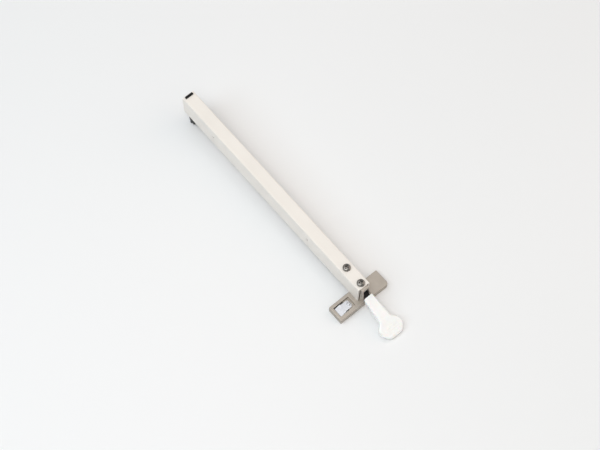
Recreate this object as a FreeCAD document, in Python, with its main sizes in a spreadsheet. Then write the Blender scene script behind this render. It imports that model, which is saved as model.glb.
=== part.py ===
import FreeCAD, Part
import math
import os
import re
import Sketcher

# Gate opener arm: a long channel on a tee-shaped bracket, with a thumb lever at the near end
# that pushes a rod and swings a latching claw out of the way at the far end.
# X runs along the arm towards the lever, Y across it, Z up.
# The origin is under the arm's centre line, in the middle of the bracket's underside.

doc = FreeCAD.newDocument("GateOpenerArm")
sheet = doc.addObject("Spreadsheet::Sheet", "Sizes")

# Each driving size: its name, its value in millimetres or degrees, and what it measures.
DRIVING = [
    ("arm_length", 292, "arm channel, end to end"),
    ("arm_width", 15, "arm channel, across"),
    ("arm_height", 30, "arm channel, from its open edge to its top"),
    ("arm_wall", 1.5, "wall of the arm channel"),
    ("arm_corner", 1.2, "outer radius along the arm's top edges"),
    ("arm_inner_corner", 0.5, "inner radius along the arm's top edges"),
    ("arm_overhang", 3.8, "arm's near end in front of the base's middle"),
    ("base_length", 20, "bracket's base, along the arm"),
    ("base_thickness", 8, "bracket's base, from the resting face to the arm's edge"),
    ("left_reach", 35.4, "left foot, from the arm's centre line to its end"),
    ("right_reach", 30.6, "right foot, from the arm's centre line to its end"),
    ("base_corner", 1.1, "radius of the feet's upright corners"),
    ("base_front_corner", 3.2, "radius of the right foot's front corner"),
    ("base_edge", 0.7, "radius along the base's top edge"),
    ("window_back_wall", 3.5, "wall behind the left foot's window"),
    ("window_front_wall", 4.2, "wall in front of the left foot's window"),
    ("window_end_wall", 3.2, "wall at the outer end of the left foot's window"),
    ("window_start", 12, "inner end of the window, from the arm's centre line"),
    ("ledge_length", 7.5, "ledge at the window's inner end, where the leaf is riveted"),
    ("ledge_depth", 3, "ledge below the base's top"),
    ("saddle_side_gap", 0.6, "room between the saddle and the arm's walls"),
    ("cheek_thickness", 1.9, "saddle's cheeks at their foot"),
    ("saddle_draft", 0.8, "how far each cheek leans in on its way up"),
    ("saddle_back", 34, "saddle's rear end behind the arm's near end"),
    ("saddle_nose", 2.7, "saddle's top in front of the arm's near end"),
    ("saddle_edge", 0.8, "radius along the saddle's top edges"),
    ("cheek_nose", 5.4, "cheeks in front of the arm's near end, low down"),
    ("cheek_knee", 15, "height above the base where the cheeks' front edge starts to lean back"),
    ("rear_cheek_height", 16, "height above the base of the cheeks' rear lower corner"),
    ("web_thickness", 3, "saddle's top wall, which the screws are tapped into"),
    ("base_hole_diameter", 4.2, "tapped fixing holes under the base"),
    ("base_hole_depth", 6, "depth of the fixing holes"),
    ("base_hole_place", 20, "outer fixing hole, from the arm's centre line"),
    ("screw_setback", 5.1, "front screw behind the arm's near end"),
    ("screw_spacing", 22.2, "distance between the two top screws"),
    ("screw_diameter", 5, "thread of the top screws"),
    ("screw_length", 6, "top screws below their heads"),
    ("screw_point", 0.5, "chamfer at the screws' tips"),
    ("head_diameter", 8.8, "pan heads of the top screws"),
    ("head_height", 3, "height of the pan heads"),
    ("head_round", 2.2, "radius over the pan heads"),
    ("recess_span", 4.8, "cross recess, tip to tip"),
    ("recess_width", 1.1, "width of the cross recess's slots"),
    ("recess_depth", 1.7, "depth of the cross recess"),
    ("clear_hole", 5.5, "screw holes through the arm's top"),
    ("leaf_side_gap", 0.85, "room between the leaf plate and the window's long sides"),
    ("leaf_neck_gap", 1.7, "room between the leaf's riveted half and the window's long sides"),
    ("leaf_end_gap", 1.8, "room between the leaf's riveted end and the window's inner end"),
    ("leaf_neck_round", 3, "radius of the corners at the leaf's riveted end"),
    ("leaf_thickness", 1.2, "sheet of the leaf plate"),
    ("leaf_fold", 24.6, "leaf plate's fold, from the arm's centre line"),
    ("leaf_drop", 2.2, "how far the leaf's outer half falls"),
    ("leaf_bend", 1, "radius of the leaf's fold"),
    ("leaf_gap", 0.4, "room between the leaf plate and the window's outer end"),
    ("rivet_place", 16.2, "leaf rivet, from the arm's centre line"),
    ("rivet_diameter", 2.5, "shank of the leaf rivet"),
    ("rivet_head", 4, "head of the leaf rivet"),
    ("rivet_head_height", 1.1, "height of the rivet's head"),
    ("rivet_round", 0.8, "radius over the rivet's head"),
    ("rivet_depth", 4.4, "rivet's shank below the leaf"),
    ("lever_pivot_back", 9, "lever's pivot behind the arm's near end"),
    ("lever_pivot_height", 17, "lever's pivot above the base"),
    ("lever_link_radius", 9, "lever's crank, pivot to link pin"),
    ("lever_travel", 18, "angle that the lever turns when pressed"),
    ("lever_pin", 4, "diameter of the lever's pivot pin"),
    ("lever_hub", 9.6, "diameter of the lever's hub"),
    ("lever_droop", 18.3, "slope of the lever and its grip at rest"),
    ("tongue_length", 38, "lever's tongue from the pivot, inside the grip"),
    ("tongue_thickness", 5, "thickness of the lever's tongue"),
    ("tab_length", 2.6, "snap tabs on the lever's tongue, along it"),
    ("tab_height", 2, "height of the snap tabs"),
    ("tab_rise", 2.6, "how far a snap tab stands out of the tongue"),
    ("tab_first", 26.4, "first snap tab from the pivot, along the tongue"),
    ("tab_spacing", 8.9, "distance between the snap tabs"),
    ("link_pin", 3, "diameter of the two link pins"),
    ("eye_diameter", 6.4, "round ends of the rod's eyes"),
    ("eye_tongue", 7.6, "rod eyes, from the link pin to the shank"),
    ("eye_shank", 9, "length of the rod eyes' shanks"),
    ("eye_shank_diameter", 6, "diameter of the rod eyes' shanks"),
    ("eye_bar_height", 5, "height of the flat bar of the rod eyes"),
    ("front_eye_thickness", 2.4, "thickness of the front rod eye"),
    ("rear_eye_thickness", 4.4, "thickness of the rear rod eye"),
    ("rod_diameter", 4, "push rod"),
    ("rod_end", 1, "rod's end inside the shank, from the eye's bar"),
    ("nut_across", 7.4, "lock nuts, corner to corner"),
    ("nut_thickness", 3.2, "thickness of the lock nuts"),
    ("front_guide_back", 82, "front rod guide behind the arm's near end"),
    ("rear_guide_back", 165, "rear rod guide behind the arm's near end"),
    ("front_guide_length", 14, "front rod guide along the arm"),
    ("rear_guide_length", 10, "rear rod guide along the arm"),
    ("guide_foot", 3, "guides' lower face above the arm's open edge"),
    ("guide_waist", 2, "depth of the hollows in the guides' sides"),
    ("guide_rim", 2, "rim round the hollows in the guides' sides"),
    ("guide_pin", 3, "pins through the arm's side walls"),
    ("pin_bore", 1.7, "bore of the rolled side pins"),
    ("pin_recess", 0.5, "side pins' ends below the arm's outer faces"),
    ("spring_length", 22, "return spring at rest"),
    ("spring_diameter", 6.6, "return spring over its coils"),
    ("spring_wire", 0.8, "wire of the return spring"),
    ("spring_turns", 8, "turns of the return spring"),
    ("spring_steps", 20, "straight steps in one turn of the spring"),
    ("wire_sides", 8, "flat sides of the spring's wire"),
    ("washer_diameter", 8.4, "spring washer and spring collar"),
    ("washer_thickness", 1, "spring washer"),
    ("collar_length", 4, "spring collar"),
    ("claw_pivot_back", 52.5, "claw's pivot from the arm's far end"),
    ("claw_link_radius", 8, "claw's crank, pivot to link pin"),
    ("claw_hub", 5.5, "radius of metal round the claw's pivot"),
    ("claw_boss", 4, "half height of metal round the claw's link pin"),
    ("claw_fork_roof", 3.4, "top of the claw's fork below its pivot"),
    ("claw_nose_set", 7.2, "claw's tip from the arm's far end"),
    ("claw_nose_drop", 22, "claw's tip below the arm's edge"),
    ("claw_back_set", 4.4, "claw's steep face from the arm's far end, at its top"),
    ("claw_back_rise", 2.5, "top of the claw's steep face above the arm's edge"),
    ("tooth_run", 1.8, "sloping side of the claw's tooth, along the arm"),
    ("tooth_rise", 6, "sloping side of the claw's tooth, upwards"),
    ("step_run", 4.4, "step behind the claw's tooth, along the arm"),
    ("step_rise", 0.3, "step behind the claw's tooth, upwards"),
    ("claw_arm_start", 30, "thin part of the claw, from the arm's far end"),
    ("claw_arm_top", 16, "top of the thin part above the arm's edge"),
    ("claw_foot_start", 18.6, "top of the slope behind the step, from the arm's far end"),
    ("claw_arm_foot", 1.5, "top of the slope behind the step, below the arm's edge"),
    ("claw_tail", 12, "claw's stop behind its pivot"),
    ("claw_tail_width", 7, "length of the stop's flat"),
    ("claw_tip_round", 0.4, "radius of the claw's tip"),
    ("claw_round", 1.5, "radius of the claw's other corners"),
    ("claw_panel_depth", 2.6, "hollows in the claw's sides"),
    ("plug_length", 8, "end plug along the arm"),
    ("plug_thickness", 5, "end plug below the arm's top wall"),
    ("plug_tab_set", 1.1, "plug's tab from the arm's far end"),
    ("plug_tab_length", 2.4, "plug's tab along the arm"),
    ("plug_tab_width", 9.8, "plug's tab across"),
    ("plug_tab_rise", 2.2, "plug's tab above the arm"),
    ("plug_edge", 0.6, "radius on the plug's tab"),
    ("grip_start", 15.6, "near end of the grip at its top, from the pivot, along it"),
    ("grip_start_low", 21.2, "near end of the grip at its underside, which must clear the cheeks"),
    ("grip_neck_end", 45, "end of the grip's neck, from the pivot"),
    ("grip_shoulder", 51.5, "start of the paddle's full width, from the pivot"),
    ("grip_full_end", 58.5, "end of the paddle's full width, from the pivot"),
    ("grip_tip", 66.2, "tip of the paddle, from the pivot"),
    ("grip_neck_start_width", 11, "grip's neck at its near end"),
    ("grip_neck_width", 14.2, "grip's neck at the paddle"),
    ("grip_paddle_width", 27.8, "grip's paddle"),
    ("grip_tip_width", 17.5, "straight edge at the paddle's tip"),
    ("grip_neck_top", 4.9, "top of the grip's neck above the lever's line"),
    ("grip_neck_bottom", 3.6, "underside of the grip's neck below the lever's line"),
    ("grip_tip_top", 3, "top of the paddle's tip above the lever's line"),
    ("grip_tip_bottom", 1.2, "underside of the paddle's tip below the lever's line"),
    ("grip_bend", 40, "radius where the neck turns into the paddle, seen from the side"),
    ("grip_plan_round", 7.5, "radius of the paddle's corners seen from above"),
    ("grip_throat_round", 5, "radius between the neck and the paddle"),
    ("grip_round", 1.7, "radius round the grip's top and underside"),
    ("rib_count", 4, "ribs across the paddle"),
    ("rib_first", 55, "first rib from the pivot"),
    ("rib_spacing", 2.8, "distance between the ribs"),
    ("rib_width", 1, "width of a rib"),
    ("rib_rise", 0.5, "how far a rib stands up"),
    ("rib_length", 15, "length of the ribs"),
    ("running_gap", 0.05, "radial play of a hub on its pin"),
    ("rod_gap", 0.1, "radial play of the rod in its guides"),
    ("link_gap", 0.2, "radial play of a link pin in its eye"),
    ("side_gap", 0.3, "play beside each moving piece"),
    ("set_gap", 0.02, "radial play of a fixed pin, screw or rod"),
    ("fit_gap", 0.1, "play of a fitted block"),
]

# Each size that follows from others: its name, its formula, and what it is.
DERIVED = [
    ("arm_far", "arm_overhang - arm_length", "arm's far end"),
    ("arm_top", "base_thickness + arm_height", "top of the arm"),
    ("ceiling", "arm_top - arm_wall", "underside of the arm's top wall"),
    ("arm_room", "arm_width - 2 * arm_wall", "room between the arm's walls"),
    ("saddle_width", "arm_room - 2 * saddle_side_gap", "saddle over its cheeks"),
    ("saddle_gap", "saddle_width - 2 * cheek_thickness", "room between the saddle's cheeks"),
    ("claw_width", "arm_room - 2 * side_gap", "claw across"),
    ("web_underside", "ceiling - web_thickness", "underside of the saddle's top wall"),
    ("saddle_rear", "arm_overhang - saddle_back", "saddle's rear end"),
    ("front_screw", "arm_overhang - screw_setback", "front screw along the arm"),
    ("rear_screw", "front_screw - screw_spacing", "rear screw along the arm"),
    ("leaf_middle", "(window_back_wall - window_front_wall) / 2", "middle of the window"),
    ("leaf_width", "base_length - window_back_wall - window_front_wall - 2 * leaf_side_gap", "leaf plate"),
    ("leaf_neck", "leaf_width + 2 * leaf_side_gap - 2 * leaf_neck_gap", "leaf plate's riveted half"),
    ("leaf_seat", "base_thickness - ledge_depth", "top of the ledge"),
    ("lever_across", "arm_overhang - lever_pivot_back", "lever's pivot along the arm"),
    ("lever_up", "base_thickness + lever_pivot_height", "lever's pivot, height"),
    ("rod_up", "lever_up - lever_link_radius * (1 + cos(lever_travel / 2)) / 2", "rod, height"),
    ("lever_link_across", "lever_across + lever_link_radius * sin(lever_travel / 2)", "front link pin"),
    ("lever_link_up", "lever_up - lever_link_radius * cos(lever_travel / 2)", "front link pin, height"),
    ("claw_travel", "lever_travel * lever_link_radius / claw_link_radius", "angle the claw turns"),
    ("claw_across", "arm_far + claw_pivot_back", "claw's pivot along the arm"),
    ("claw_up", "rod_up + claw_link_radius * (1 + cos(claw_travel / 2)) / 2", "claw's pivot, height"),
    ("claw_link_across", "claw_across + claw_link_radius * sin(claw_travel / 2)", "rear link pin"),
    ("claw_link_up", "claw_up - claw_link_radius * cos(claw_travel / 2)", "rear link pin, height"),
    ("hub_width", "saddle_gap - 2 * side_gap", "lever between the cheeks"),
    ("front_guide", "arm_overhang - front_guide_back", "front rod guide, middle"),
    ("rear_guide", "arm_overhang - rear_guide_back", "rear rod guide, middle"),
    ("side_pin_length", "arm_width - 2 * pin_recess", "pins through the arm's walls"),
    ("washer_seat", "front_guide + front_guide_length / 2", "face that the washer rests on"),
    ("collar_seat", "washer_seat + washer_thickness + spring_length", "collar's face at the spring"),
]

NAMES = [row[0] for row in DRIVING + DERIVED]


def fill_sheet():
    """Write every size into the sheet, each under its own name."""
    for number, (name, value, meaning) in enumerate(DRIVING + DERIVED):
        row = number + 1
        content = "=" + value if isinstance(value, str) else str(value)
        sheet.set("A%d" % row, meaning)
        sheet.set("B%d" % row, content)
        sheet.setAlias("B%d" % row, name)
    doc.recompute()


def size(name):
    """The value of one size."""
    return float(sheet.get(name))


def tied(formula):
    """A formula in the sheet's names, written the way an object reads it."""
    def in_sheet(word):
        name = word.group()
        return "Sizes." + name if name in NAMES else name
    return re.sub(r"[a-z_]{3,}", in_sheet, formula)


def bind(item, place, formula):
    """Let one property of an object follow a formula."""
    item.setExpression(place, tied(formula))


def new_body(label):
    body = doc.addObject("PartDesign::Body", label)
    body.Label = label
    return body


def new_sketch(body, name, role, offset="0"):
    """A sketch on one of the body's own planes, moved along its normal by a formula."""
    sketch = body.newObject("Sketcher::SketchObject", body.Name + "_" + name)
    plane = [item for item in body.Origin.OriginFeatures if item.Role == role][0]
    sketch.AttachmentSupport = [(plane, "")]
    sketch.MapMode = "FlatFace"
    bind(sketch, ".AttachmentOffset.Base.z", offset)
    return sketch


def place_point(sketch, item, point, across, up):
    """Hold one point of a sketch at two formulas from the sketch's origin."""
    for kind, formula in (("DistanceX", across), ("DistanceY", up)):
        index = sketch.addConstraint(Sketcher.Constraint(kind, -1, 1, item, point, 1.0))
        bind(sketch, "Constraints[%d]" % index, formula)


def polygon(sketch, corners):
    """A closed outline of straight lines, each corner held by two formulas."""
    first = sketch.GeometryCount
    count = len(corners)
    rough = [FreeCAD.Vector(math.cos(math.tau * n / count), math.sin(math.tau * n / count), 0)
             for n in range(count)]
    for number in range(count):
        sketch.addGeometry(Part.LineSegment(rough[number], rough[(number + 1) % count]), False)
    for number, (across, up) in enumerate(corners):
        following = first + (number + 1) % count
        sketch.addConstraint(Sketcher.Constraint("Coincident", first + number, 2, following, 1))
        place_point(sketch, first + number, 1, across, up)


def rectangle(sketch, left, right, low, high):
    polygon(sketch, [(left, low), (right, low), (right, high), (left, high)])


def circle(sketch, across, up, diameter):
    item = sketch.addGeometry(Part.Circle(FreeCAD.Vector(0, 0, 0), FreeCAD.Vector(0, 0, 1), 1), False)
    place_point(sketch, item, 3, across, up)
    index = sketch.addConstraint(Sketcher.Constraint("Diameter", item, 2.0))
    bind(sketch, "Constraints[%d]" % index, diameter)


def pad(body, sketch, length, symmetric=False):
    feature = body.newObject("PartDesign::Pad", sketch.Name + "_pad")
    feature.Profile = sketch
    bind(feature, "Length", length)
    feature.SideType = "Symmetric" if symmetric else "One side"
    doc.recompute()
    return feature


def pocket(body, sketch, length=None, forward=False):
    """Cut a sketch out of the body: through all of it both ways, or to a length one way."""
    before = body.Shape.Volume
    feature = body.newObject("PartDesign::Pocket", sketch.Name + "_pocket")
    feature.Profile = sketch
    if length is None:
        feature.Type = "ThroughAll"
        feature.SideType = "Symmetric"
    else:
        feature.Type = "Length"
        bind(feature, "Length", length)
        feature.Reversed = forward
    doc.recompute()
    if not body.Shape.Volume < before:
        raise RuntimeError(feature.Name + " cuts nothing")
    return feature


def find_edges(shape, test):
    return ["Edge%d" % (number + 1) for number, edge in enumerate(shape.Edges) if test(edge)]


def runs_along(edge, axis):
    """True for a straight edge along one axis: 0 for X, 1 for Y, 2 for Z."""
    if not isinstance(edge.Curve, Part.Line):
        return False
    return abs(edge.Curve.Direction[axis]) > 0.9999


def round_edges(body, name, radius, test):
    """Round the edges of the body's last feature that pass a test."""
    base = body.Tip
    feature = body.newObject("PartDesign::Fillet", body.Name + "_" + name)
    feature.Base = (base, find_edges(base.Shape, test))
    bind(feature, "Radius", radius)
    doc.recompute()
    if "Invalid" in feature.State or feature.Shape.Volume == base.Shape.Volume:
        raise RuntimeError(feature.Name + " rounds nothing")
    return feature


def near(value, target):
    return abs(value - target) < 0.01


def arm_channel():
    """Extruded channel, open below, drilled for the screws and the two side pins."""
    body = new_body("arm_channel")
    section = new_sketch(body, "section", "YZ_Plane", "arm_far")
    polygon(section, [
        ("-arm_width / 2", "base_thickness"),
        ("-arm_room / 2", "base_thickness"),
        ("-arm_room / 2", "ceiling"),
        ("arm_room / 2", "ceiling"),
        ("arm_room / 2", "base_thickness"),
        ("arm_width / 2", "base_thickness"),
        ("arm_width / 2", "arm_top"),
        ("-arm_width / 2", "arm_top"),
    ])
    pad(body, section, "arm_length")
    top = size("arm_top")
    ceiling = size("ceiling")
    round_edges(body, "outer_corners", "arm_corner",
                lambda edge: runs_along(edge, 0) and near(edge.CenterOfMass.z, top))
    round_edges(body, "inner_corners", "arm_inner_corner",
                lambda edge: runs_along(edge, 0) and near(edge.CenterOfMass.z, ceiling))
    screws = new_sketch(body, "screw_holes", "XY_Plane")
    circle(screws, "front_screw", "0", "clear_hole")
    circle(screws, "rear_screw", "0", "clear_hole")
    pocket(body, screws)
    pins = new_sketch(body, "pin_holes", "XZ_Plane")
    circle(pins, "front_guide", "claw_up", "guide_pin + 2 * set_gap")
    circle(pins, "claw_across", "claw_up", "guide_pin + 2 * set_gap")
    pocket(body, pins)
    slot = new_sketch(body, "plug_slot", "XY_Plane")
    rectangle(slot, "arm_far + plug_tab_set - fit_gap", "arm_far + plug_tab_set + plug_tab_length + fit_gap",
              "-plug_tab_width / 2 - fit_gap", "plug_tab_width / 2 + fit_gap")
    pocket(body, slot)
    return body


def bracket_base(body):
    """The cross bar with its two feet, rounded at its corners and along its top edge."""
    bar = new_sketch(body, "bar", "XY_Plane")
    rectangle(bar, "-base_length / 2", "base_length / 2", "-left_reach", "right_reach")
    pad(body, bar, "base_thickness")
    front = size("base_length") / 2
    right = size("right_reach")
    top = size("base_thickness")

    def front_right(edge):
        middle = edge.CenterOfMass
        return runs_along(edge, 2) and near(middle.x, front) and near(middle.y, right)
    round_edges(body, "front_corner", "base_front_corner", front_right)
    done = right - size("base_front_corner")
    round_edges(body, "corners", "base_corner",
                lambda edge: runs_along(edge, 2) and abs(edge.CenterOfMass.x) > front - 0.01
                and near(edge.Length, top) and not near(edge.CenterOfMass.y, done))
    round_edges(body, "top_edge", "base_edge", lambda edge: near(edge.BoundBox.ZMin, top))


def bracket_saddle(body):
    """The saddle: a top wall under the arm's top and two cheeks down to the base."""
    side = new_sketch(body, "saddle_side", "XZ_Plane")
    polygon(side, [
        ("saddle_rear", "ceiling"),
        ("saddle_rear", "base_thickness + rear_cheek_height"),
        ("-base_length / 2 + base_edge", "base_thickness"),
        ("-base_length / 2 + base_edge", "base_thickness / 2"),
        ("arm_overhang + cheek_nose", "base_thickness / 2"),
        ("arm_overhang + cheek_nose", "base_thickness + cheek_knee"),
        ("arm_overhang + saddle_nose", "ceiling"),
    ])
    pad(body, side, "saddle_width", symmetric=True)
    draft = new_sketch(body, "cheek_draft", "YZ_Plane")
    for sign in ("", "-"):
        cheek = sign + "saddle_width / 2"
        outside = sign + "arm_room / 2"
        leaning = sign + "(saddle_width / 2 - saddle_draft)"
        polygon(draft, [(cheek, "base_thickness"), (outside, "ceiling"), (leaning, "ceiling")])
    pocket(body, draft)
    gap = new_sketch(body, "cheek_gap", "YZ_Plane")
    rectangle(gap, "-saddle_gap / 2", "saddle_gap / 2", "base_thickness", "web_underside")
    pocket(body, gap)
    ceiling = size("ceiling")
    round_edges(body, "saddle_edges", "saddle_edge",
                lambda edge: runs_along(edge, 0) and near(edge.CenterOfMass.z, ceiling))


def bracket_window(body):
    """The left foot's window, with the ledge that the leaf plate is riveted to."""
    back = "-base_length / 2 + window_back_wall"
    front = "base_length / 2 - window_front_wall"
    shelf = new_sketch(body, "ledge", "XY_Plane", "base_thickness")
    rectangle(shelf, back, front, "-left_reach + window_end_wall", "-window_start")
    pocket(body, shelf, "ledge_depth")
    opening = new_sketch(body, "window", "XY_Plane", "base_thickness")
    rectangle(opening, back, front, "-left_reach + window_end_wall", "-window_start - ledge_length")
    pocket(body, opening)
    rivet = new_sketch(body, "rivet_hole", "XY_Plane")
    circle(rivet, "leaf_middle", "-rivet_place", "rivet_diameter + 2 * set_gap")
    pocket(body, rivet)


def tee_bracket():
    """Die-cast bracket: the base with its feet and window, the saddle, and the tapped holes."""
    body = new_body("tee_bracket")
    bracket_base(body)
    bracket_saddle(body)
    bracket_window(body)
    fixing = new_sketch(body, "fixing_holes", "XY_Plane")
    circle(fixing, "0", "base_hole_place", "base_hole_diameter")
    circle(fixing, "0", "0", "base_hole_diameter")
    pocket(body, fixing, "base_hole_depth", forward=True)
    tapped = new_sketch(body, "screw_holes", "XY_Plane", "ceiling")
    circle(tapped, "front_screw", "0", "screw_diameter + 2 * set_gap")
    circle(tapped, "rear_screw", "0", "screw_diameter + 2 * set_gap")
    pocket(body, tapped, "web_thickness + side_gap")
    pivot = new_sketch(body, "pivot_hole", "XZ_Plane")
    circle(pivot, "lever_across", "lever_up", "lever_pin + 2 * set_gap")
    pocket(body, pivot)
    return body


def top_screw(label, across):
    """Pan-head screw with a cross recess, seated on the arm's top."""
    body = new_body(label)
    profile = new_sketch(body, "profile", "XZ_Plane")
    polygon(profile, [
        ("0", "-screw_length"),
        ("screw_diameter / 2 - screw_point", "-screw_length"),
        ("screw_diameter / 2", "screw_point - screw_length"),
        ("screw_diameter / 2", "0"),
        ("head_diameter / 2", "0"),
        ("head_diameter / 2", "head_height"),
        ("0", "head_height"),
    ])
    turned = body.newObject("PartDesign::Revolution", label + "_turned")
    turned.Profile = profile
    turned.ReferenceAxis = (profile, ["V_Axis"])
    doc.recompute()
    top = size("head_height")
    round_edges(body, "head_round", "head_round",
                lambda edge: near(edge.BoundBox.ZMin, top) and near(edge.BoundBox.ZMax, top))
    recess = new_sketch(body, "recess", "XY_Plane", "head_height")
    reach = "recess_span / 2"
    half = "recess_width / 2"
    polygon(recess, [
        (half, half), (reach, half), (reach, "-" + half), (half, "-" + half),
        (half, "-" + reach), ("-" + half, "-" + reach), ("-" + half, "-" + half),
        ("-" + reach, "-" + half), ("-" + reach, half), ("-" + half, half),
        ("-" + half, reach), (half, reach),
    ])
    pocket(body, recess, "recess_depth")
    bind(body, ".Placement.Base.x", across)
    bind(body, ".Placement.Base.z", "arm_top")
    return body


def leaf_plate():
    """Folded sheet-metal leaf, riveted to the ledge in the window."""
    body = new_body("leaf_plate")
    profile = new_sketch(body, "profile", "YZ_Plane", "leaf_middle")
    start = "-window_start - leaf_end_gap"
    end = "-left_reach + window_end_wall + leaf_gap"
    polygon(profile, [
        (start, "leaf_seat"),
        ("-leaf_fold", "leaf_seat"),
        (end, "leaf_seat - leaf_drop"),
        (end, "leaf_seat - leaf_drop + leaf_thickness"),
        ("-leaf_fold", "leaf_seat + leaf_thickness"),
        (start, "leaf_seat + leaf_thickness"),
    ])
    pad(body, profile, "leaf_width", symmetric=True)
    fold = -size("leaf_fold")
    round_edges(body, "fold", "leaf_bend",
                lambda edge: runs_along(edge, 0) and near(edge.CenterOfMass.y, fold))
    neck = new_sketch(body, "neck", "XY_Plane")
    for sign in (" - ", " + "):
        polygon(neck, [
            ("leaf_middle" + sign + "leaf_neck / 2", "-leaf_fold + leaf_bend"),
            ("leaf_middle" + sign + "leaf_width", "-leaf_fold + leaf_bend"),
            ("leaf_middle" + sign + "leaf_width", "-window_start"),
            ("leaf_middle" + sign + "leaf_neck / 2", "-window_start"),
        ])
    pocket(body, neck)
    riveted_end = -size("window_start") - size("leaf_end_gap")
    round_edges(body, "neck_corners", "leaf_neck_round",
                lambda edge: runs_along(edge, 2) and near(edge.CenterOfMass.y, riveted_end))
    hole = new_sketch(body, "rivet_hole", "XY_Plane")
    circle(hole, "leaf_middle", "-rivet_place", "rivet_diameter + 2 * set_gap")
    pocket(body, hole)
    return body


def upright(label, diameter, height, foot):
    """A plain cylinder standing at the leaf rivet's place."""
    item = doc.addObject("Part::Cylinder", label)
    bind(item, "Radius", "(" + diameter + ") / 2")
    bind(item, "Height", height)
    bind(item, ".Placement.Base.x", "leaf_middle")
    bind(item, ".Placement.Base.y", "-rivet_place")
    bind(item, ".Placement.Base.z", foot)
    return item


def leaf_rivet():
    """Round-headed rivet through the leaf and the ledge."""
    shank = upright("rivet_shank", "rivet_diameter", "rivet_depth + leaf_thickness",
                    "leaf_seat - rivet_depth")
    head = upright("rivet_top", "rivet_head", "rivet_head_height", "leaf_seat + leaf_thickness")
    joined = doc.addObject("Part::Fuse", "rivet_blank")
    joined.Base = shank
    joined.Tool = head
    doc.recompute()
    rivet = doc.addObject("Part::Fillet", "leaf_rivet")
    rivet.Base = joined
    top = size("leaf_seat") + size("leaf_thickness") + size("rivet_head_height")
    radius = size("rivet_round")
    rivet.Edges = [(number + 1, radius, radius) for number, edge in enumerate(joined.Shape.Edges)
                   if near(edge.BoundBox.ZMin, top)]
    rivet.Label = "leaf_rivet"
    return rivet


def cross_pin(label, diameter, length, across, up):
    """A plain pin across the arm, centred on it."""
    pin = doc.addObject("Part::Cylinder", label)
    pin.Label = label
    bind(pin, "Radius", "(" + diameter + ") / 2")
    bind(pin, "Height", length)
    pin.Placement.Rotation = FreeCAD.Rotation(FreeCAD.Vector(1, 0, 0), 90)
    bind(pin, ".Placement.Base.x", across)
    bind(pin, ".Placement.Base.y", "(" + length + ") / 2")
    bind(pin, ".Placement.Base.z", up)
    return pin


def rolled_pin(label, across, up):
    """A hollow pin through both walls of the arm."""
    blank = cross_pin(label + "_blank", "guide_pin", "side_pin_length", across, up)
    bore = cross_pin(label + "_bore", "pin_bore", "arm_width", across, up)
    return ring(label, blank, bore)


def along_arm(label, diameter, start, length):
    """A plain cylinder on the rod's line, from a start towards the lever."""
    item = doc.addObject("Part::Cylinder", label)
    bind(item, "Radius", "(" + diameter + ") / 2")
    bind(item, "Height", length)
    item.Placement.Rotation = FreeCAD.Rotation(FreeCAD.Vector(0, 1, 0), 90)
    bind(item, ".Placement.Base.x", start)
    bind(item, ".Placement.Base.z", "rod_up")
    return item


def ring(label, blank, bore):
    """A blank with a bore through it."""
    item = doc.addObject("Part::Cut", label)
    item.Label = label
    item.Base = blank
    item.Tool = bore
    return item


def rod_guide(label, middle, length, with_pin):
    """Nylon block that fills the channel and carries the rod in a long bore."""
    body = new_body(label)
    section = new_sketch(body, "section", "YZ_Plane", middle)
    rectangle(section, "fit_gap / 2 - arm_room / 2", "arm_room / 2 - fit_gap / 2",
              "base_thickness + guide_foot", "ceiling")
    pad(body, section, length, symmetric=True)
    top = size("ceiling")
    round_edges(body, "top_corners", "arm_inner_corner + fit_gap",
                lambda edge: runs_along(edge, 0) and near(edge.CenterOfMass.z, top))
    bore = new_sketch(body, "rod_bore", "YZ_Plane")
    circle(bore, "0", "rod_up", "rod_diameter + 2 * rod_gap")
    pocket(body, bore)
    for side, sign in (("left", "1"), ("right", "-1")):
        hollow = new_sketch(body, side + "_hollow", "XZ_Plane", sign + " * (arm_room - fit_gap) / 2")
        rectangle(hollow, middle + " - " + length + " / 2 + guide_rim",
                  middle + " + " + length + " / 2 - guide_rim",
                  "claw_up + guide_pin", "ceiling - guide_rim")
        pocket(body, hollow, "guide_waist", forward=(side == "right"))
    if with_pin:
        pin = new_sketch(body, "pin_hole", "XZ_Plane")
        circle(pin, middle, "claw_up", "guide_pin + 2 * set_gap")
        pocket(body, pin)
    return body


def rod_eye(label, centre, towards, thickness):
    """Flat eye on a round shank; towards is 1 where the shank points to the lever."""
    body = new_body(label)
    sign = "1 * " if towards > 0 else "-1 * "
    head = new_sketch(body, "head", "XZ_Plane")
    circle(head, centre, "rod_up", "eye_diameter")
    pad(body, head, thickness, symmetric=True)
    bar = new_sketch(body, "bar", "XZ_Plane")
    rectangle(bar, centre, centre + " + " + sign + "(eye_tongue + rod_end)",
              "rod_up - eye_bar_height / 2", "rod_up + eye_bar_height / 2")
    pad(body, bar, thickness, symmetric=True)
    shank = new_sketch(body, "shank", "YZ_Plane", centre + " + " + sign + "(eye_tongue + eye_shank / 2)")
    circle(shank, "0", "rod_up", "eye_shank_diameter")
    pad(body, shank, "eye_shank", symmetric=True)
    bore = new_sketch(body, "rod_bore", "YZ_Plane", centre + " + " + sign + "(eye_tongue + rod_end)")
    circle(bore, "0", "rod_up", "rod_diameter + 2 * set_gap")
    pocket(body, bore, "eye_shank", forward=towards > 0)
    hole = new_sketch(body, "link_hole", "XZ_Plane")
    circle(hole, centre, "rod_up", "link_pin + 2 * link_gap")
    pocket(body, hole)
    return body


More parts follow.
